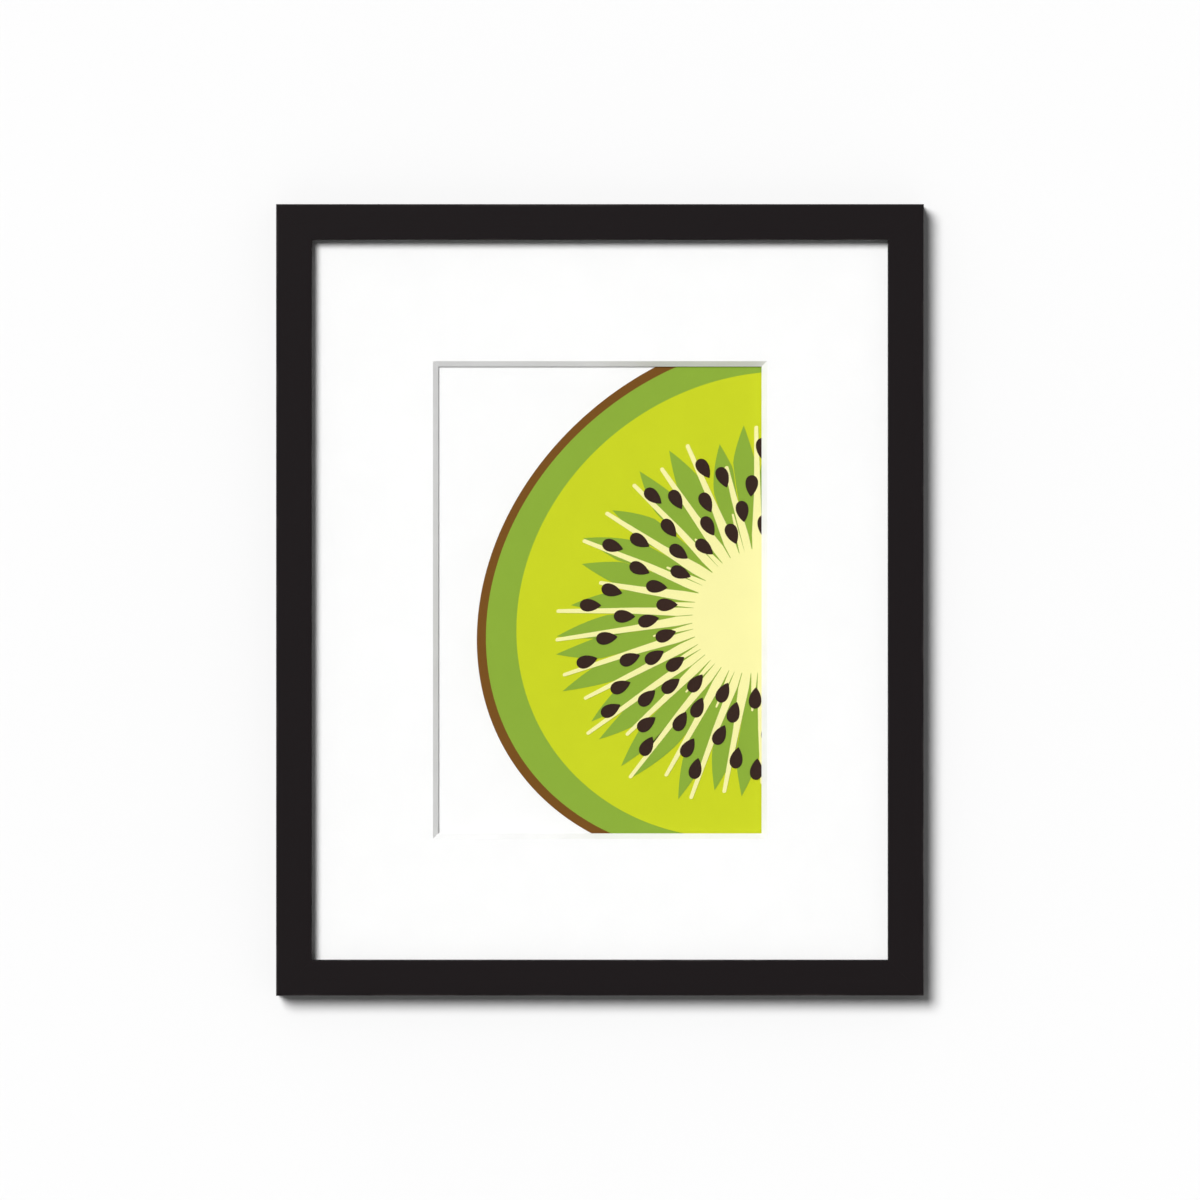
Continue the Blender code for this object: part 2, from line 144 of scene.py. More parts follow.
# Seeds lie beside the rays, left and right by turns, with their points towards the core
SEED_POINT_POWER = 0.75
SEED_STEPS = 36
SEED_SIDE_STEP = 2 * MM
SEED_RELIEF = 0.05 * MM
SEED_RADII = (
    (29 * MM, 42 * MM, 54 * MM),
    (35 * MM, 48 * MM),
)
SEED_SPREAD = 0.8 * MM
SEED_TURN_SPREAD = math.radians(8)
RAY_PAST_SEED = 2 * MM

# The solids of the frame stay this far apart where its real parts touch
SOLID_GAP = 0.3 * MM

# The back's small steel parts
TAB_NOSE_SHARE = 0.49
TAB_IN_WALL = 1 * MM
TAB_RIB_INSET = 2.6 * MM
TAB_RIB_DEPTH = 0.12 * MM
NOSE_STEPS = 10
HANGER_THICKNESS = 0.6 * MM
HANGER_RISE = 0.9 * MM
HANGER_EAR = 9 * MM
HANGER_SLOPE = 2.5 * MM
TOOTH_COUNT = 9
TOOTH_DEPTH = 1.8 * MM
RIVET_DOME_STEPS = 8
RIVET_TURNS = 32

TABS = tuple(f"tab_{side}_{end}" for side in ("right", "top", "left", "bottom") for end in "ab")

# How far the gloss of board, paper and ink goes up and down
GLOSS_SPREAD = 0.06


def ink(red, green, blue):
    """The ink that shows as a screen colour, each part from 0 to 255, in this light and behind the pane."""
    parts = [part / 255 for part in (red, green, blue)]
    light = [p / 12.92 if p <= 0.04045 else ((p + 0.055) / 1.055) ** 2.4 for p in parts]
    return tuple(max(0.0, (p - PANE_VEIL) / PRINT_LIGHT) for p in light)


def length_setting(name, description, default):
    """A distance that a user can change."""
    return bpy.props.FloatProperty(
        name=name, description=description, default=default, min=0, unit="LENGTH", precision=5
    )


def colour_setting(name, description, default):
    """A linear colour that a user can change."""
    return bpy.props.FloatVectorProperty(
        name=name, description=description, default=default, size=3, min=0, max=1, subtype="COLOR"
    )


def share_setting(name, description, default, most=1.0):
    """A plain number that a user can change."""
    return bpy.props.FloatProperty(name=name, description=description, default=default, min=0, max=most)


def angle_setting(name, description, degrees):
    """An angle that a user can change."""
    return bpy.props.FloatProperty(
        name=name, description=description, default=math.radians(degrees), subtype="ANGLE", unit="ROTATION"
    )


class RailSettings(bpy.types.PropertyGroup):
    """The black wooden rails."""

    lip_width: length_setting("Lip width", "How far the lip covers the layers behind it", 5 * MM)
    lip_thickness: length_setting("Lip thickness", "Thickness of the lip over the layers", 4 * MM)
    outer_rounding: length_setting("Outer rounding", "Radius of the front edge on the outer side", 0.8 * MM)
    inner_rounding: length_setting("Inner rounding", "Radius of the front edge on the inner side", 0.5 * MM)
    back_rounding: length_setting("Back rounding", "Radius of the edges at the back", 0.4 * MM)
    mitre_gap: length_setting("Mitre gap", "Hairline between two rails at a corner", 0.002 * MM)
    paint: colour_setting("Paint", "Colour of the satin paint", (0.0078, 0.0054, 0.0061))
    worn_paint: colour_setting("Worn paint", "Colour of the rubbed edges", (0.03, 0.025, 0.024))


class MatSettings(bpy.types.PropertyGroup):
    """The clear pane and the mat board with its window."""

    border: length_setting("Border", "Distance from the rails to the print that shows", 1.75 * INCH)
    window_edge: length_setting("Window edge", "Radius of the cut board's edge", 0.08 * MM)
    board: colour_setting("Board", "Colour of the mat's face", (0.864, 0.864, 0.861))
    board_core: colour_setting("Board core", "Colour of the cut edge", (0.82, 0.82, 0.817))
    pane_reflection: share_setting("Pane reflection", "Share of light mirrored straight on", 0.06)


class PrintSettings(bpy.types.PropertyGroup):
    """The sheet of paper and the kiwi slice printed on it."""

    paper: colour_setting("Paper", "Colour of the bare sheet", (0.864, 0.864, 0.861))
    skin: colour_setting("Skin", "Colour of the slice's skin", ink(121, 81, 36))
    dark_flesh: colour_setting("Dark flesh", "Colour of the outer flesh and the petals", ink(142, 175, 62))
    pale_flesh: colour_setting("Pale flesh", "Colour of the inner flesh", ink(204, 214, 41))
    core: colour_setting("Core", "Colour of the core and its rays", ink(250, 245, 172))
    seed: colour_setting("Seed", "Colour of the seeds", ink(58, 42, 37))
    seed_length: length_setting("Seed length", "Length of one seed", 7.6 * MM)
    seed_width: length_setting("Seed width", "Width of one seed", 4.5 * MM)
    ray_count: bpy.props.IntProperty(name="Rays", description="Pale rays round the core", default=36, min=8)
    layout: bpy.props.IntProperty(name="Layout", description="Fixes the random draw", default=480)


class BackSettings(bpy.types.PropertyGroup):
    """The backing board and the small steel parts on it."""

    hardboard: colour_setting("Hardboard", "Colour of the backing board", (0.3, 0.18, 0.09))
    steel: colour_setting("Steel", "Colour of the zinc plated steel", (0.62, 0.62, 0.6))
    board_edge: length_setting("Board edge", "Radius of the backing board's edges", 0.3 * MM)
    plate_edge: length_setting("Plate edge", "Radius of the steel parts' edges", 0.08 * MM)


class StageSettings(bpy.types.PropertyGroup):
    """The floor, the studio light and the camera."""

    floor: colour_setting("Floor", "Colour of the floor", (0.795, 0.795, 0.795))
    floor_size: length_setting("Floor size", "Width of the floor", 8.0)
    camera_height: length_setting("Camera height", "Distance from the frame's face to the camera", 3.0)
    key: share_setting("Key light", "Strength of the soft light from the top left", 3.82, 20)
    key_gloss: share_setting("Key gloss", "Share of the key light that shows in gloss", 0.12)
    key_lean: angle_setting("Key lean", "How far the key light is from straight above", 27)
    key_turn: angle_setting("Key turn", "The key light's direction on the floor, from the right", 135)
    key_softness: angle_setting("Key softness", "How wide the key light looks from the frame", 24)
    fill: share_setting("Fill", "Brightness of the room at middle heights", 0.19)
    horizon: share_setting("Horizon", "Brightness of the room at the floor's end", 0.9)
    zenith: share_setting("Zenith", "Brightness of the room straight above", 0.03)


SETTINGS = {
    "rail_settings": RailSettings,
    "mat_settings": MatSettings,
    "print_settings": PrintSettings,
    "back_settings": BackSettings,
    "stage_settings": StageSettings,
}


# Materials


class Tree:
    """Adds nodes to a material's, world's or group's tree."""

    def __init__(self, tree):
        self.tree = tree

    def add(self, kind, sockets=None, **properties):
        """A node with its properties and sockets set. A socket takes a value or another node's output."""
        made = self.tree.nodes.new("ShaderNode" + kind)
        for name, value in properties.items():
            setattr(made, name, value)
        for name, value in (sockets or {}).items():
            if isinstance(value, bpy.types.NodeSocket):
                self.tree.links.new(value, made.inputs[name])
            else:
                made.inputs[name].default_value = value
        return made

    def noise(self, place, scale=1.0, detail=2.0, roughness=0.5, distortion=0.0):
        """A cloudy pattern from 0 to 1 over a place."""
        sockets = {
            "Vector": place,
            "Scale": scale,
            "Detail": detail,
            "Roughness": roughness,
            "Distortion": distortion,
        }
        return self.add("TexNoise", sockets).outputs[0]

    def ramp(self, value, low, high, to_low=0.0, to_high=1.0):
        """A value from one range spread over another, held at its ends."""
        sockets = {"Value": value, "From Min": low, "From Max": high, "To Min": to_low, "To Max": to_high}
        return self.add("MapRange", sockets).outputs[0]

    def math(self, operation, first, second=0.0):
        """One sum of two values."""
        return self.add("Math", {0: first, 1: second}, operation=operation).outputs[0]

    def mix(self, factor, first, second):
        """A colour between two colours."""
        colours = [c if isinstance(c, bpy.types.NodeSocket) else (*c, 1.0) for c in (first, second)]
        sockets = {0: factor, 6: colours[0], 7: colours[1]}
        return self.add("Mix", sockets, data_type="RGBA").outputs[2]

    def place(self, turn=0.0, stretch=(1.0, 1.0, 1.0)):
        """The piece's own coordinates in metres, turned about Z and then stretched."""
        spot = self.add("TexCoord").outputs["Object"]
        turned = self.add("Mapping", {"Vector": spot, "Rotation": (0.0, 0.0, turn)}).outputs[0]
        return self.stretched(turned, stretch)

    def stretched(self, place, stretch):
        """A place with its axes stretched, so that a pattern over it shrinks along them."""
        return self.add("Mapping", {"Vector": place, "Scale": stretch}).outputs[0]

    def group(self, shared, sockets):
        """A shared node group with its inputs set."""
        made = self.add("Group", node_tree=shared)
        for name, value in sockets.items():
            if isinstance(value, bpy.types.NodeSocket):
                self.tree.links.new(value, made.inputs[name])
            else:
                made.inputs[name].default_value = value
        return made

    def bump(self, height, distance, strength=1.0):
        """A normal bent by a height, with the relief's depth in metres."""
        return self.add("Bump", {"Strength": strength, "Distance": distance, "Height": height}).outputs[0]


def shared_group(name, inputs, outputs, build):
    """A node group that is built once. Inputs and outputs are (name, kind) pairs."""
    if name in bpy.data.node_groups:
        return bpy.data.node_groups[name]
    group = bpy.data.node_groups.new(name, "ShaderNodeTree")
    for sockets, direction in ((inputs, "INPUT"), (outputs, "OUTPUT")):
        for socket, kind in sockets:
            group.interface.new_socket(socket, in_out=direction, socket_type="NodeSocket" + kind)
    entry = group.nodes.new("NodeGroupInput")
    exit_node = group.nodes.new("NodeGroupOutput")
    for socket, value in build(Tree(group), entry.outputs).items():
        group.links.new(value, exit_node.inputs[socket])
    return group


def paper_tooth():
    """The tooth of pressed paper, fine and felted, and slow clouds in its shade."""

    def build(tree, given):
        felt = tree.noise(given["Vector"], scale=1100, roughness=0.65)
        clouds = tree.noise(given["Vector"], scale=60, roughness=0.7)
        return {"Tooth": felt, "Clouds": tree.ramp(clouds, low=0.3, high=0.7)}

    outputs = [("Tooth", "Float"), ("Clouds", "Float")]
    return shared_group("Paper Tooth", [("Vector", "Vector")], outputs, build)


def wood_grain():
    """Long closed grain under paint, drawn along X, with short open pores."""

    def build(tree, given):
        streaks = tree.stretched(given["Vector"], (22.0, 700.0, 700.0))
        dashes = tree.stretched(given["Vector"], (240.0, 2600.0, 2600.0))
        figure = tree.noise(streaks, detail=4, roughness=0.6, distortion=0.3)
        pores = tree.ramp(tree.noise(dashes, detail=1), low=0.6, high=0.72)
        relief = tree.math("SUBTRACT", figure, tree.math("MULTIPLY", pores, 0.5))
        return {"Figure": figure, "Pores": pores, "Relief": relief}

    outputs = [("Figure", "Float"), ("Pores", "Float"), ("Relief", "Float")]
    return shared_group("Wood Grain", [("Vector", "Vector")], outputs, build)


def edge_wear():
    """Where handling has rubbed an edge: patches along the faces that the edge attribute marks."""

    def build(tree, given):
        patches = tree.noise(given["Vector"], scale=45, detail=6, roughness=0.7)
        rubbed = tree.ramp(patches, low=0.5, high=0.66)
        return {"Wear": tree.math("MULTIPLY", rubbed, given["Edge"])}

    inputs = [("Vector", "Vector"), ("Edge", "Float")]
    return shared_group("Edge Wear", inputs, [("Wear", "Float")], build)


def new_material(name, roughness, metallic=0.0, specular=0.5):
    """A Principled material, as (material, its tree, its shader)."""
    material = bpy.data.materials.new(name)
    material.use_nodes = True
    shader = material.node_tree.nodes["Principled BSDF"]
    shader.inputs["Roughness"].default_value = roughness
    shader.inputs["Metallic"].default_value = metallic
    shader.inputs["Specular IOR Level"].default_value = specular
    return material, Tree(material.node_tree), shader


def feed(tree, shader, **sockets):
    """Links outputs to the shader's sockets, whose names are written with underscores."""
    for name, output in sockets.items():
        tree.tree.links.new(output, shader.inputs[name.replace("_", " ")])


def once(name, build):
    """A material that several pieces share."""
    return bpy.data.materials.get(name) or build(name)


def painted_wood(name, turn, settings):
    """Satin black paint over wood, whose grain shows faintly and runs along the rail."""
    material, tree, shader = new_material(name, roughness=0.5, specular=0.3)
    place = tree.place(turn)
    grain = tree.group(wood_grain(), {"Vector": place}).outputs
    edge = tree.add("Attribute", attribute_name="edge_wear").outputs["Fac"]
    wear = tree.group(edge_wear(), {"Vector": place, "Edge": edge}).outputs["Wear"]
    deep = [0.86 * part for part in settings.paint]
    paint = tree.mix(grain["Figure"], deep, settings.paint)
    colour = tree.mix(tree.math("MULTIPLY", wear, 0.5), paint, settings.worn_paint)
    satin = tree.ramp(grain["Figure"], low=0.3, high=0.7, to_low=0.46, to_high=0.54)
    polish = tree.math("SUBTRACT", satin, tree.math("MULTIPLY", wear, 0.12))
    relief = tree.bump(grain["Relief"], distance=0.025 * MM, strength=0.7)
    feed(tree, shader, Base_Color=colour, Roughness=polish, Normal=relief)
    return material


def clear_pane(name, settings):
    """Clear acrylic: it mirrors a little straight on and more at a slant, and the rest passes through."""
    material, tree, shader = new_material(name, roughness=0.02, metallic=1.0)
    slant = tree.add("LayerWeight", {"Blend": 0.5}).outputs["Facing"]
    rise = tree.math("POWER", slant, 5.0)
    mirrored = tree.ramp(rise, low=0.0, high=1.0, to_low=settings.pane_reflection)
    inside = tree.add("NewGeometry").outputs["Backfacing"]
    outside = tree.math("SUBTRACT", 1.0, inside)
    tint = tree.mix(tree.noise(tree.place(), scale=8, detail=0), (0.99, 1.0, 0.995), (1.0, 1.0, 1.0))
    feed(tree, shader, Base_Color=tint, Alpha=tree.math("MULTIPLY", mirrored, outside))
    return material


def paper_like(name, colour, relief=0.02 * MM, mottle=0.97, roughness=0.85, specular=0.3):
    """Matte board, paper or ink on paper, with its tooth and a slight unevenness."""
    material, tree, shader = new_material(name, roughness, specular=specular)
    tooth = tree.group(paper_tooth(), {"Vector": tree.place()}).outputs
    uneven = tree.mix(tooth["Clouds"], [mottle * part for part in colour], colour)
    gloss = tree.ramp(
        tooth["Tooth"], low=0.3, high=0.7, to_low=roughness - GLOSS_SPREAD, to_high=roughness + GLOSS_SPREAD
    )
    feed(tree, shader, Base_Color=uneven, Roughness=gloss, Normal=tree.bump(tooth["Tooth"], relief))
    return material


def floor_paint(name, colour):
    """Matte paint, a little uneven from place to place."""
    material, tree, shader = new_material(name, roughness=0.9, specular=0.2)
    clouds = tree.ramp(tree.noise(tree.place(), scale=6, detail=1), low=0.3, high=0.7)
    uneven = tree.mix(clouds, [0.998 * part for part in colour], colour)
    gloss = tree.ramp(clouds, low=0.0, high=1.0, to_low=0.88, to_high=0.92)
    feed(tree, shader, Base_Color=uneven, Roughness=gloss)
    return material


def hardboard(name, settings):
    """Pressed brown fibre board: matted fibres, darker flecks and a slightly burnished skin."""
    material, tree, shader = new_material(name, roughness=0.7, specular=0.3)
    place = tree.place()
    darker = [0.86 * part for part in settings.hardboard]
    paler = [min(1.0, 1.3 * part) for part in settings.hardboard]
    darkest = [0.45 * part for part in settings.hardboard]
    one_way = tree.noise(tree.place(0.5, (260.0, 1100.0, 700.0)), detail=4, distortion=1.2)
    crossing = tree.noise(tree.place(-0.8, (240.0, 1000.0, 700.0)), detail=4, distortion=1.2)
    fibres = tree.math("MAXIMUM", one_way, crossing)
    flecks = tree.ramp(tree.noise(place, scale=900), low=0.66, high=0.72)
    clouds = tree.noise(place, scale=22, detail=5, roughness=0.65)
    base = tree.mix(tree.ramp(clouds, low=0.3, high=0.7), darker, settings.hardboard)
    fibred = tree.mix(tree.ramp(fibres, low=0.45, high=0.75), base, paler)
    gloss = tree.ramp(fibres, low=0.4, high=0.8, to_low=0.62, to_high=0.8)
    relief = tree.bump(fibres, distance=0.03 * MM)
    feed(tree, shader, Base_Color=tree.mix(flecks, fibred, darkest), Roughness=gloss, Normal=relief)
    return material


def zinc_plate(name, settings):
    """Bright zinc on rolled steel, with fine rolling lines and a cloudy plate."""
    material, tree, shader = new_material(name, roughness=0.35, metallic=1.0)
    dulled = [0.82 * part for part in settings.steel]
    lines = tree.noise(tree.place(stretch=(300.0, 9000.0, 300.0)), detail=3)
    clouds = tree.noise(tree.place(), scale=350, detail=4, roughness=0.6)
    tint = tree.mix(tree.ramp(clouds, low=0.35, high=0.65), dulled, settings.steel)
    gloss = tree.ramp(lines, low=0.3, high=0.7, to_low=0.28, to_high=0.46)
    relief = tree.bump(lines, distance=0.004 * MM)
    feed(tree, shader, Base_Color=tint, Roughness=gloss, Normal=relief)
    return material


# Pieces


def finish_piece(name, bm, materials, nodes):
    """Makes a bmesh a piece: it rides on the frame's body and stands for its CAD nodes."""
    mesh = bpy.data.meshes.new(name)
    bm.to_mesh(mesh)
    bm.free()
    mesh.shade_smooth()
    mesh.set_sharp_from_angle(angle=SMOOTH_ANGLE)
    for material in materials:
        mesh.materials.append(material)
    piece = bpy.data.objects.new(name, mesh)
    bpy.context.scene.collection.objects.link(piece)
    level = piece.modifiers.new("flat faces stay flat", "WEIGHTED_NORMAL")
    level.keep_sharp = True
    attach(piece, BODY)
    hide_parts(*nodes)
    return piece


def vertices_of(geometry):
    """The vertices in an operator's result."""
    return [g for g in geometry if isinstance(g, bmesh.types.BMVert)]


def edges_of(geometry):
    """The edges in an operator's result."""
    return [g for g in geometry if isinstance(g, bmesh.types.BMEdge)]


def round_edges(bm, edges, radius, steps):
    """Rounds edges, and returns the new faces."""
    rounded = bmesh.ops.bevel(
        bm,
        geom=edges,
        offset=radius,
        offset_type="OFFSET",
        segments=steps,
        profile=0.5,
        affect="EDGES",
        material=-1,
    )
    return rounded["faces"]


def raise_faces(bm, rise):
    """Gives flat faces a thickness, upwards or, with a negative rise, downwards."""
    raised = bmesh.ops.extrude_face_region(bm, geom=bm.faces[:])
    bmesh.ops.translate(bm, vec=(0, 0, rise), verts=vertices_of(raised["geom"]))
    bmesh.ops.recalc_face_normals(bm, faces=bm.faces)


def flat_sheet(low, high):
    """One upright-facing rectangle that fills a box's plan, at the box's foot."""
    bm = bmesh.new()
    bmesh.ops.create_grid(bm, x_segments=1, y_segments=1, size=0.5)
    bmesh.ops.scale(bm, vec=(high.x - low.x, high.y - low.y, 1), verts=bm.verts)
    bmesh.ops.translate(bm, vec=((low.x + high.x) / 2, (low.y + high.y) / 2, low.z), verts=bm.verts)
    return bm


def board(low, high, edge_radius):
    """A flat board that fills a box, with its edges eased."""
    bm = flat_sheet(low, high)
    raise_faces(bm, high.z - low.z)
    if edge_radius:
        round_edges(bm, bm.edges[:], edge_radius, SMALL_ROUND_STEPS)
    return bm


def long_edge(bm, y, z):
    """The edge along X that passes through a point of the rail's section."""
    for edge in bm.edges:
        first, second = (v.co for v in edge.verts)
        along = abs(first.x - second.x) > abs(first.y - second.y) + abs(first.z - second.z)
        if along and math.hypot(first.y - y, first.z - z) < NEAR:
            return edge
    raise RuntimeError(f"the rail has no edge at {y}, {z}")


def mitre_end(bm, side, corner, gap):
    """Cuts one end of the bar at 45 degrees through the frame's corner and closes it."""
    outward = Vector((side, 1, 0)).normalized()
    cut = bmesh.ops.bisect_plane(
        bm,
        geom=bm.verts[:] + bm.edges[:] + bm.faces[:],
        plane_co=corner - outward * gap / 2,
        plane_no=outward,
        clear_outer=True,
    )
    bmesh.ops.contextual_create(bm, geom=edges_of(cut["geom_cut"]))


def mitred_rail(low, high, turns, settings):
    """One rail, made as the bottom one of its frame and turned into its place."""
    turn = Matrix.Rotation(-turns * QUARTER_TURN, 3, "Z")
    corners = [turn @ low, turn @ high]
    start = Vector(map(min, *corners))
    end = Vector(map(max, *corners))
    spare = SOLID_GAP / math.sqrt(2)
    start.x -= spare
    end.x += spare
    wall = end.y - settings.lip_width
    under_lip = end.z - settings.lip_thickness
    section = (
        (start.y, start.z, settings.back_rounding),
        (start.y, end.z, settings.outer_rounding),
        (end.y, end.z, settings.inner_rounding),
        (end.y, under_lip, settings.inner_rounding * UNDER_LIP_SHARE),
        (wall, under_lip, 0),
        (wall, start.z, settings.back_rounding),
    )
    bm = bmesh.new()
    worn = bm.faces.layers.float.new("edge_wear")
    outline = [bm.verts.new((start.x, y, z)) for y, z, _ in section]
    drawn = bmesh.ops.extrude_face_region(bm, geom=[bm.faces.new(outline)])
    bmesh.ops.translate(bm, vec=(end.x - start.x, 0, 0), verts=vertices_of(drawn["geom"]))
    for y, z, radius in section:
        if radius:
            for face in round_edges(bm, [long_edge(bm, y, z)], radius, ROUND_STEPS):
                face[worn] = 1.0
    for side, x in ((-1, start.x), (1, end.x)):
        mitre_end(bm, side, Vector((x, start.y, 0)), settings.mitre_gap)
    bmesh.ops.recalc_face_normals(bm, faces=bm.faces)
    bmesh.ops.rotate(bm, cent=(0, 0, 0), matrix=turn.inverted(), verts=bm.verts)
    return bm


def windowed_mat(settings):
    """The mat board. Its window's edge is cut at 45 degrees, wider to the front, and has material 1."""
    low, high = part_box("mat_board")
    rail_low, rail_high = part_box("rail_top")
    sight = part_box("rail_right")[1].x - (rail_high.y - rail_low.y)
    border = settings.border + high.x - sight
    bm = flat_sheet(low, high)
    window = bm.faces[:]
    bmesh.ops.inset_individual(bm, faces=window, thickness=border, use_even_offset=True)
    bmesh.ops.delete(bm, geom=window, context="FACES")
    raise_faces(bm, high.z - low.z)
    for face in bm.faces:
        face.material_index = int(all(abs(v.co.x) < sight for v in face.verts))
    rim = [v for v in bm.verts if abs(v.co.x) < sight and v.co.z > low.z]
    for vert in rim:
        vert.co.x += math.copysign(high.z - low.z, vert.co.x)
        vert.co.y += math.copysign(high.z - low.z, vert.co.y)
    bm.normal_update()
    corners = [e for e in bm.edges if all(v in rim for v in e.verts)]
    round_edges(bm, corners, settings.window_edge, SMALL_ROUND_STEPS)
    return bm


def placed(centre, along, across, heading):
    """The point that lies along and across a heading from a centre."""
    return (
        centre[0] + along * math.cos(heading) - across * math.sin(heading),
        centre[1] + along * math.sin(heading) + across * math.cos(heading),
    )


def on_paper(bm):
    """Trims a flat bmesh to the sheet, less a small margin."""
    low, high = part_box("print_paper")
    for sign, corner in ((-1, low), (1, high)):
        for axis in (0, 1):
            normal = Vector((0, 0, 0))
            normal[axis] = sign
            bmesh.ops.bisect_plane(
                bm,
                geom=bm.verts[:] + bm.edges[:] + bm.faces[:],
                plane_co=corner - normal * PAPER_MARGIN,
                plane_no=normal,
                clear_outer=True,
            )


def oval_face(bm, oval):
    """One of the slice's leaning ovals."""
    centre_x, centre_y, half_length, half_width = oval
    bmesh.ops.create_circle(bm, cap_ends=True, segments=OVAL_STEPS, radius=1)
    bmesh.ops.scale(bm, vec=(half_length, half_width, 1), verts=bm.verts)
    bmesh.ops.rotate(bm, cent=(0, 0, 0), matrix=Matrix.Rotation(OVAL_TILT, 3, "Z"), verts=bm.verts)
    bmesh.ops.translate(bm, vec=(centre_x, centre_y, 0), verts=bm.verts)


def from_core(radius, angle):
    """The point at a distance and direction from the core's centre, stretched the way the ovals lean."""
    return placed(CORE_CENTRE, CORE_STRETCH * radius * math.cos(angle), radius * math.sin(angle), OVAL_TILT)


def slice_layout(settings):
    """Works out the rays, spikes, petals and seeds. Rays and spikes are (angle, reach), petals
    (angle, reach, lean), and seeds (angle, radius, step aside, turn)."""
    draw = random.Random(settings.layout)
    sector = 2 * math.pi / settings.ray_count
    rays, spikes, petals, seeds = [], [], [], []
    for i in range(settings.ray_count):
        angle = i * sector + draw.uniform(-ANGLE_SPREAD, ANGLE_SPREAD)
        between = (i + 0.5) * sector + draw.uniform(-ANGLE_SPREAD, ANGLE_SPREAD)
        reach = RAY_REACH + draw.uniform(-RAY_REACH_SPREAD, RAY_REACH_SPREAD)
        if i % SHORT_RAY_EVERY == 1:
            reach -= SHORT_RAY_LESS
        rays.append((angle, reach))
        petal_reach = PETAL_REACH + draw.uniform(-PETAL_REACH_SPREAD, PETAL_REACH_SPREAD)
        petals.append((between, petal_reach, draw.uniform(-PETAL_LEAN, PETAL_LEAN)))
        if i % SPIKE_EVERY == 1:
            spikes.append((between, SPIKE_REACH + draw.uniform(-SPIKE_REACH_SPREAD, SPIKE_REACH_SPREAD)))
        for row, radius in enumerate(SEED_RADII[i % len(SEED_RADII)]):
            place = radius + draw.uniform(-SEED_SPREAD, SEED_SPREAD)
            side = SEED_SIDE_STEP if row % 2 else -SEED_SIDE_STEP
            turn = draw.uniform(-SEED_TURN_SPREAD, SEED_TURN_SPREAD)
            if place + RAY_PAST_SEED < reach:
                seeds.append((angle, place, side, turn))
    return rays, spikes, petals, seeds


def petal_half_width(share):
    """Half a petal's width at a share of the way from its foot to its pointed tip."""
    if share < PETAL_WIDEST_AT:
        swell = math.sin(QUARTER_TURN * share / PETAL_WIDEST_AT)
        grown = PETAL_FOOT_SHARE + (1 - PETAL_FOOT_SHARE) * swell
    else:
        grown = 1 - ((share - PETAL_WIDEST_AT) / (1 - PETAL_WIDEST_AT)) ** PETAL_POINT_POWER
    return grown * PETAL_WIDTH / 2


def petal_sides(reach):
    """(radius, half width) pairs along one side of a petal, from its foot to its tip."""
    shares = [i / PETAL_STEPS for i in range(PETAL_STEPS + 1)]
    length = reach - PETAL_FOOT_RADIUS
    return [(PETAL_FOOT_RADIUS + s * length, petal_half_width(s)) for s in shares]


def blunt_tip(reach, width):
    """(radius, half width) pairs round one side of a spoke's rounded tip."""
    half = width / 2
    turns = [QUARTER_TURN * i / TIP_STEPS for i in range(TIP_STEPS + 1)]
    return [(reach - half + half * math.sin(a), half * math.cos(a)) for a in turns]


def ray_sides(reach):
    """(radius, half width) pairs along one side of a ray, from the core to its tip."""
    return [
        (CORE_RADIUS, RAY_ROOT_WIDTH / 2),
        (RAY_FOOT_RADIUS, RAY_FOOT_WIDTH / 2),
        (RAY_WAIST_RADIUS, RAY_WAIST_WIDTH / 2),
        *blunt_tip(reach, RAY_TIP_WIDTH),
    ]


def spike_sides(reach):
    """(radius, half width) pairs along one side of a short spike between two rays."""
    return [(CORE_RADIUS, SPIKE_ROOT_WIDTH / 2), *blunt_tip(reach, SPIKE_TIP_WIDTH)]


def rosette(spokes):
    """The outline of spokes round the centre. Each is (angle, lean, sides), stays in its own sector,
    and has its tip turned aside by its lean."""
    spokes = sorted(spokes)
    points = []
    for i, (angle, lean, sides) in enumerate(spokes):
        before = SECTOR_SHARE * ((angle - spokes[i - 1][0]) % (2 * math.pi)) / 2
        after = SECTOR_SHARE * ((spokes[(i + 1) % len(spokes)][0] - angle) % (2 * math.pi)) / 2
        foot, tip = sides[0][0], sides[-1][0]
        grown = [(radius - foot) / (tip - foot) for radius, _ in sides]
        middles = [angle + lean * share**PETAL_LEAN_POWER for share in grown]
        one_side = [
            from_core(radius, middle - min(half_width / radius, before))
            for (radius, half_width), middle in zip(sides, middles)
        ]
        other_side = [
            from_core(radius, middle + min(half_width / radius, after))
            for (radius, half_width), middle in zip(sides, middles)
        ]
        points += one_side + other_side[-2::-1]
    return points


def seed_outline(angle, radius, step_aside, turn, settings):
    """A drop shape with its point towards the core, on one side of its ray."""
    on_ray = from_core(radius, angle)
    outward = math.atan2(on_ray[1] - CORE_CENTRE[1], on_ray[0] - CORE_CENTRE[0])
    centre = placed(on_ray, 0, step_aside, outward)
    turns = [2 * math.pi * i / SEED_STEPS for i in range(SEED_STEPS)]
    widths = [math.sin(t) * math.sin(t / 2) ** SEED_POINT_POWER for t in turns]
    return [
        placed(
            centre,
            settings.seed_length / 2 * math.cos(t),
            settings.seed_width / 2 * width / max(widths),
            outward + math.pi + turn,
        )
        for t, width in zip(turns, widths)
    ]


def is_on_paper(outline):
    """True if a whole outline lies inside the trimmed sheet."""
    margin = Vector((1, 1, 0)) * 2 * PAPER_MARGIN
    low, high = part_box("print_paper")
    low, high = low + margin, high - margin
    return all(low.x < x < high.x and low.y < y < high.y for x, y in outline)


def outline_face(bm, outline):
    """A flat face from the points of its outline."""
    return bm.faces.new([bm.verts.new((x, y, 0)) for x, y in outline])


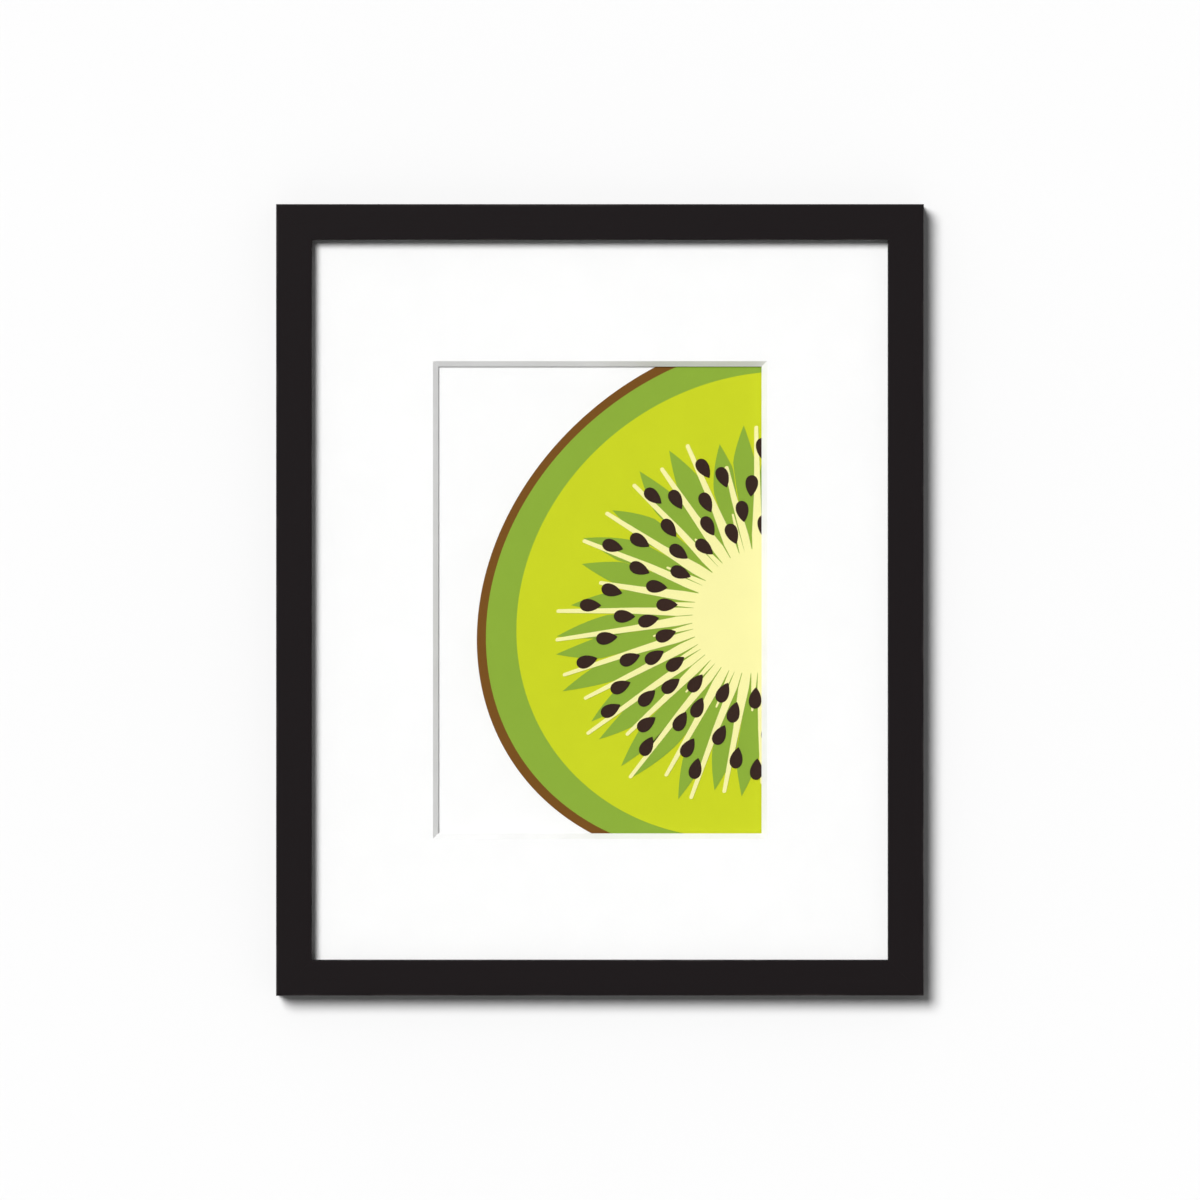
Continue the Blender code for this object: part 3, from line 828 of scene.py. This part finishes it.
def ink_piece(name, bm, material, node, low, high):
    """Prints flat faces: trims them to the sheet and lays them between two heights."""
    on_paper(bm)
    bmesh.ops.translate(bm, vec=(0, 0, low), verts=bm.verts)
    raise_faces(bm, high - low)
    return finish_piece(name, bm, [material], [node])


def steel_tab(node, settings):
    """A flexible steel tab with a rounded nose and a pressed rib, pointing at its rail."""
    low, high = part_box(node)
    centre = (low + high) / 2
    if high.x - low.x > high.y - low.y:
        heading = 0 if centre.x > 0 else math.pi
    else:
        heading = math.copysign(QUARTER_TURN, centre.y)
    width, length = sorted((high.x - low.x, high.y - low.y))
    wall_end = length / 2 + SOLID_GAP + TAB_IN_WALL
    bm = flat_sheet(Vector((-length / 2, -width / 2, 0)), Vector((wall_end, width / 2, 0)))
    nose = [v for v in bm.verts if v.co.x < 0]
    bmesh.ops.bevel(
        bm,
        geom=nose,
        offset=TAB_NOSE_SHARE * width,
        offset_type="OFFSET",
        segments=NOSE_STEPS,
        profile=0.5,
        affect="VERTICES",
        material=-1,
    )
    raise_faces(bm, high.z - low.z)
    under = min(bm.faces, key=lambda f: f.calc_center_median().z)
    rim = list(under.edges)
    bmesh.ops.inset_individual(bm, faces=[under], thickness=TAB_RIB_INSET, use_even_offset=True)
    bmesh.ops.translate(bm, vec=(0, 0, TAB_RIB_DEPTH), verts=under.verts)
    round_edges(bm, rim, settings.plate_edge, SMALL_ROUND_STEPS)
    bmesh.ops.rotate(bm, cent=(0, 0, 0), matrix=Matrix.Rotation(heading, 3, "Z"), verts=bm.verts)
    bmesh.ops.translate(bm, vec=(centre.x, centre.y, low.z + SOLID_GAP), verts=bm.verts)
    return bm


def hanger_stations(length):
    """(x, rise of the lower edge, drop from the board) along the hanger, toothed where it is raised."""
    raised_half = length / 2 - HANGER_EAR - HANGER_SLOPE
    ends = [(length / 2, 0, 0), (length / 2 - HANGER_EAR, 0, 0)]
    stations = [(-x, up, drop) for x, up, drop in ends]
    for i in range(2 * TOOTH_COUNT + 1):
        x = raised_half * (i / TOOTH_COUNT - 1)
        stations.append((x, TOOTH_DEPTH * (i % 2), HANGER_RISE))
    return stations + ends[::-1]


def toothed_hanger(settings):
    """The steel strip that a nail catches: a grid bent to its stations and given its thickness."""
    low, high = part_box("hanger")
    stations = hanger_stations(high.x - low.x)
    bm = bmesh.new()
    bmesh.ops.create_grid(bm, x_segments=len(stations) - 1, y_segments=1, size=0.5)
    for vert in bm.verts:
        x, up, drop = stations[round((vert.co.x + 0.5) * (len(stations) - 1))]
        vert.co = (x, high.y if vert.co.y > 0 else low.y + up, high.z + SOLID_GAP - drop)
    raise_faces(bm, -HANGER_THICKNESS)
    outer = [e for e in bm.edges if e.calc_face_angle(0) > SMOOTH_ANGLE]
    round_edges(bm, outer, settings.plate_edge, SMALL_ROUND_STEPS)
    bmesh.ops.recalc_face_normals(bm, faces=bm.faces)
    return bm


def domed_rivet(node):
    """A rivet's head against the hanger: a flat arc spun round, its dome downwards."""
    low, high = (corner + Vector((0, 0, 2 * SOLID_GAP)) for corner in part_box(node))
    centre = (low + high) / 2
    radius = (high.x - low.x) / 2
    rise = high.z - low.z
    turns = [QUARTER_TURN * i / RIVET_DOME_STEPS for i in range(RIVET_DOME_STEPS + 1)]
    profile = [(radius * math.sin(t), high.z - rise * math.cos(t)) for t in turns] + [(0, high.z)]
    bm = bmesh.new()
    verts = [bm.verts.new((centre.x + x, centre.y, z)) for x, z in profile]
    edges = [bm.edges.new(pair) for pair in zip(verts, verts[1:])]
    bmesh.ops.spin(
        bm,
        geom=verts + edges,
        cent=(centre.x, centre.y, 0),
        axis=(0, 0, 1),
        angle=2 * math.pi,
        steps=RIVET_TURNS,
        use_merge=True,
    )
    bmesh.ops.remove_doubles(bm, verts=bm.verts, dist=NEAR)
    bmesh.ops.recalc_face_normals(bm, faces=bm.faces)
    return bm


# Operators


class FRAMED_OT_rails(bpy.types.Operator):
    """Build the four mitred rails"""

    bl_idname = "framed_print.rails"
    bl_label = "Rails"

    def execute(self, context):
        settings = context.scene.rail_settings
        along = painted_wood("black_paint_across", 0.0, settings)
        upright = painted_wood("black_paint_upright", QUARTER_TURN, settings)
        for turns, side in enumerate(("bottom", "right", "top", "left")):
            node = f"rail_{side}"
            bm = mitred_rail(*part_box(node), turns, settings)
            finish_piece(f"wood_{side}", bm, [upright if turns % 2 else along], [node])
        return {"FINISHED"}


class FRAMED_OT_pane(bpy.types.Operator):
    """Build the clear pane"""

    bl_idname = "framed_print.pane"
    bl_label = "Pane"

    def execute(self, context):
        bm = board(*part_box("glazing"), PANE_EDGE)
        material = clear_pane("clear_acrylic", context.scene.mat_settings)
        finish_piece("pane", bm, [material], ["glazing"])
        return {"FINISHED"}


class FRAMED_OT_mat(bpy.types.Operator):
    """Build the mat board and cut its window"""

    bl_idname = "framed_print.mat"
    bl_label = "Mat"

    def execute(self, context):
        settings = context.scene.mat_settings
        bm = windowed_mat(settings)
        face_paper = paper_like("mat_paper", settings.board, relief=0.03 * MM, mottle=0.985)
        core = paper_like("mat_core", settings.board_core, relief=0.05 * MM, mottle=0.94)
        finish_piece("mat", bm, [face_paper, core], ["mat_board"])
        return {"FINISHED"}


class FRAMED_OT_sheet(bpy.types.Operator):
    """Build the sheet of paper"""

    bl_idname = "framed_print.sheet"
    bl_label = "Sheet"

    def execute(self, context):
        paper = paper_like("print_stock", context.scene.print_settings.paper, mottle=0.985)
        bm = board(*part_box("print_paper"), SHEET_EDGE)
        finish_piece("sheet", bm, [paper], ["print_paper"])
        return {"FINISHED"}


class FRAMED_OT_slice(bpy.types.Operator):
    """Print the kiwi slice, field by field"""

    bl_idname = "framed_print.slice"
    bl_label = "Slice"

    def execute(self, context):
        settings = context.scene.print_settings
        rays, spikes, petals, seeds = slice_layout(settings)
        petal_spokes = [(angle, lean, petal_sides(reach)) for angle, reach, lean in petals]
        core_spokes = [(angle, 0, ray_sides(reach)) for angle, reach in rays]
        core_spokes += [(angle, 0, spike_sides(reach)) for angle, reach in spikes]
        inks = {
            name: paper_like(f"{name}_ink", getattr(settings, name), roughness=0.7)
            for name in ("skin", "dark_flesh", "pale_flesh", "core", "seed")
        }
        fields = (
            ("print_skin", oval_face, SKIN_OVAL, "skin", "brown_ink"),
            ("print_outer_flesh", oval_face, OUTER_FLESH_OVAL, "dark_flesh", "leaf_green_ink"),
            ("print_inner_flesh", oval_face, INNER_FLESH_OVAL, "pale_flesh", "lime_ink"),
            ("print_petals", outline_face, rosette(petal_spokes), "dark_flesh", "leaf_green_ink"),
            ("print_core", outline_face, rosette(core_spokes), "core", "cream_ink"),
        )
        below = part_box("print_paper")[1].z
        for node, draw_face, shape, ink, slot in fields:
            bm = bmesh.new()
            draw_face(bm, shape)
            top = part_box(node)[1].z - (SEED_RELIEF if node == "print_core" else 0)
            ink_piece(node.replace("print", "ink"), bm, inks[ink], node, below + INK_CLEARANCE, top)
            below = top
        bm = bmesh.new()
        for seed in seeds:
            outline = seed_outline(*seed, settings)
            if is_on_paper(outline):
                outline_face(bm, outline)
        low, high = below + INK_CLEARANCE, below + SEED_RELIEF
        ink_piece("ink_seeds", bm, inks["seed"], "print_core", low, high)
        return {"FINISHED"}


class FRAMED_OT_backing(bpy.types.Operator):
    """Build the backing board"""

    bl_idname = "framed_print.backing"
    bl_label = "Backing board"

    def execute(self, context):
        settings = context.scene.back_settings
        bm = board(*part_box("backing_board"), settings.board_edge)
        material = hardboard("brown_hardboard", settings)
        finish_piece("backing", bm, [material], ["backing_board"])
        return {"FINISHED"}


class FRAMED_OT_tabs(bpy.types.Operator):
    """Build the flexible tabs that hold the layers in"""

    bl_idname = "framed_print.tabs"
    bl_label = "Tabs"

    def execute(self, context):
        settings = context.scene.back_settings
        steel = once("zinc_plated_steel", lambda name: zinc_plate(name, settings))
        for node in TABS:
            finish_piece(f"steel_{node}", steel_tab(node, settings), [steel], [node])
        return {"FINISHED"}


class FRAMED_OT_hanger(bpy.types.Operator):
    """Build the toothed hanger and its rivets"""

    bl_idname = "framed_print.hanger"
    bl_label = "Hanger"

    def execute(self, context):
        settings = context.scene.back_settings
        steel = once("zinc_plated_steel", lambda name: zinc_plate(name, settings))
        finish_piece("hanger_strip", toothed_hanger(settings), [steel], ["hanger"])
        for node in ("rivet_left", "rivet_right"):
            finish_piece(f"domed_{node}", domed_rivet(node), [steel], [node])
        return {"FINISHED"}


class FRAMED_OT_stage(bpy.types.Operator):
    """Set the floor, the lights and the camera"""

    bl_idname = "framed_print.stage"
    bl_label = "Stage"

    def execute(self, context):
        settings = context.scene.stage_settings
        add_floor(settings)
        add_lights(settings)
        add_room(settings)
        add_camera(settings)
        view = context.scene.view_settings
        view.view_transform = "Standard"
        view.look = "None"
        return {"FINISHED"}


def add_floor(settings):
    """A plain pale floor at the height on which the frame lies."""
    bm = bmesh.new()
    bmesh.ops.create_grid(bm, x_segments=1, y_segments=1, size=settings.floor_size / 2)
    mesh = bpy.data.meshes.new("floor")
    bm.to_mesh(mesh)
    bm.free()
    mesh.materials.append(floor_paint("floor_paint", settings.floor))
    floor = bpy.data.objects.new("floor", mesh)
    bpy.context.scene.collection.objects.link(floor)


def add_lights(settings):
    """A wide soft light from the top left. Most of it is kept out of reflections, as by a filter."""
    sheen = settings.key * settings.key_gloss
    for name, strength, in_gloss in (("key", settings.key - sheen, False), ("key_sheen", sheen, True)):
        data = bpy.data.lights.new(name, "SUN")
        data.energy = strength
        data.angle = settings.key_softness
        light = bpy.data.objects.new(name, data)
        light.visible_glossy = in_gloss
        light.rotation_euler = (0, settings.key_lean, settings.key_turn)
        bpy.context.scene.collection.objects.link(light)


def add_room(settings):
    """A dim room that is pale at the floor's end and dark straight above."""
    world = bpy.data.worlds.new("room")
    world.use_nodes = True
    tree = Tree(world.node_tree)
    toward = tree.add("TexCoord").outputs["Generated"]
    height = tree.add("SeparateXYZ", {"Vector": toward}).outputs["Z"]
    walls = tree.ramp(height, low=0.03, high=0.25, to_low=settings.horizon, to_high=settings.fill)
    overhead = tree.ramp(height, low=0.8, high=0.97)
    level = tree.mix(overhead, walls, (settings.zenith,) * 3)
    background = world.node_tree.nodes["Background"]
    world.node_tree.links.new(level, background.inputs["Color"])
    bpy.context.scene.world = world


def add_camera(settings):
    """Straight above the frame's middle, with a lens that takes in the photo's width at its face."""
    data = bpy.data.cameras.new("camera")
    data.sensor_width = SENSOR_WIDTH
    data.lens = SENSOR_WIDTH * settings.camera_height / PICTURE_WIDTH
    data.clip_end = VIEW_END
    camera = bpy.data.objects.new("camera", data)
    camera.location = (0, 0, CAD_BOX[1].z + settings.camera_height)
    bpy.context.scene.collection.objects.link(camera)
    bpy.context.scene.camera = camera


OPERATORS = (
    FRAMED_OT_rails,
    FRAMED_OT_pane,
    FRAMED_OT_mat,
    FRAMED_OT_sheet,
    FRAMED_OT_slice,
    FRAMED_OT_backing,
    FRAMED_OT_tabs,
    FRAMED_OT_hanger,
    FRAMED_OT_stage,
)


class FRAMED_PT_sidebar(bpy.types.Panel):
    """The print's settings and the operators that build it"""

    bl_idname = "FRAMED_PT_sidebar"
    bl_label = "Framed Print"
    bl_space_type = "VIEW_3D"
    bl_region_type = "UI"
    bl_category = "Framed Print"

    def draw(self, context):
        for name, group in SETTINGS.items():
            box = self.layout.box()
            box.label(text=name.replace("_", " ").capitalize())
            for setting in group.__annotations__:
                box.prop(getattr(context.scene, name), setting)
        for operator in OPERATORS:
            self.layout.operator(operator.bl_idname)


CLASSES = (*SETTINGS.values(), *OPERATORS, FRAMED_PT_sidebar)


def register():
    """Makes the classes and their settings known to Blender."""
    for cls in CLASSES:
        bpy.utils.register_class(cls)
    for name, group in SETTINGS.items():
        setattr(bpy.types.Scene, name, bpy.props.PointerProperty(type=group))


def unregister():
    """Takes the settings and the classes out again."""
    for name in SETTINGS:
        delattr(bpy.types.Scene, name)
    for cls in reversed(CLASSES):
        bpy.utils.unregister_class(cls)


def main():
    """Builds the whole scene."""
    register()
    for operator in OPERATORS:
        family, action = operator.bl_idname.split(".")
        getattr(getattr(bpy.ops, family), action)()


if __name__ == "__main__":
    main()
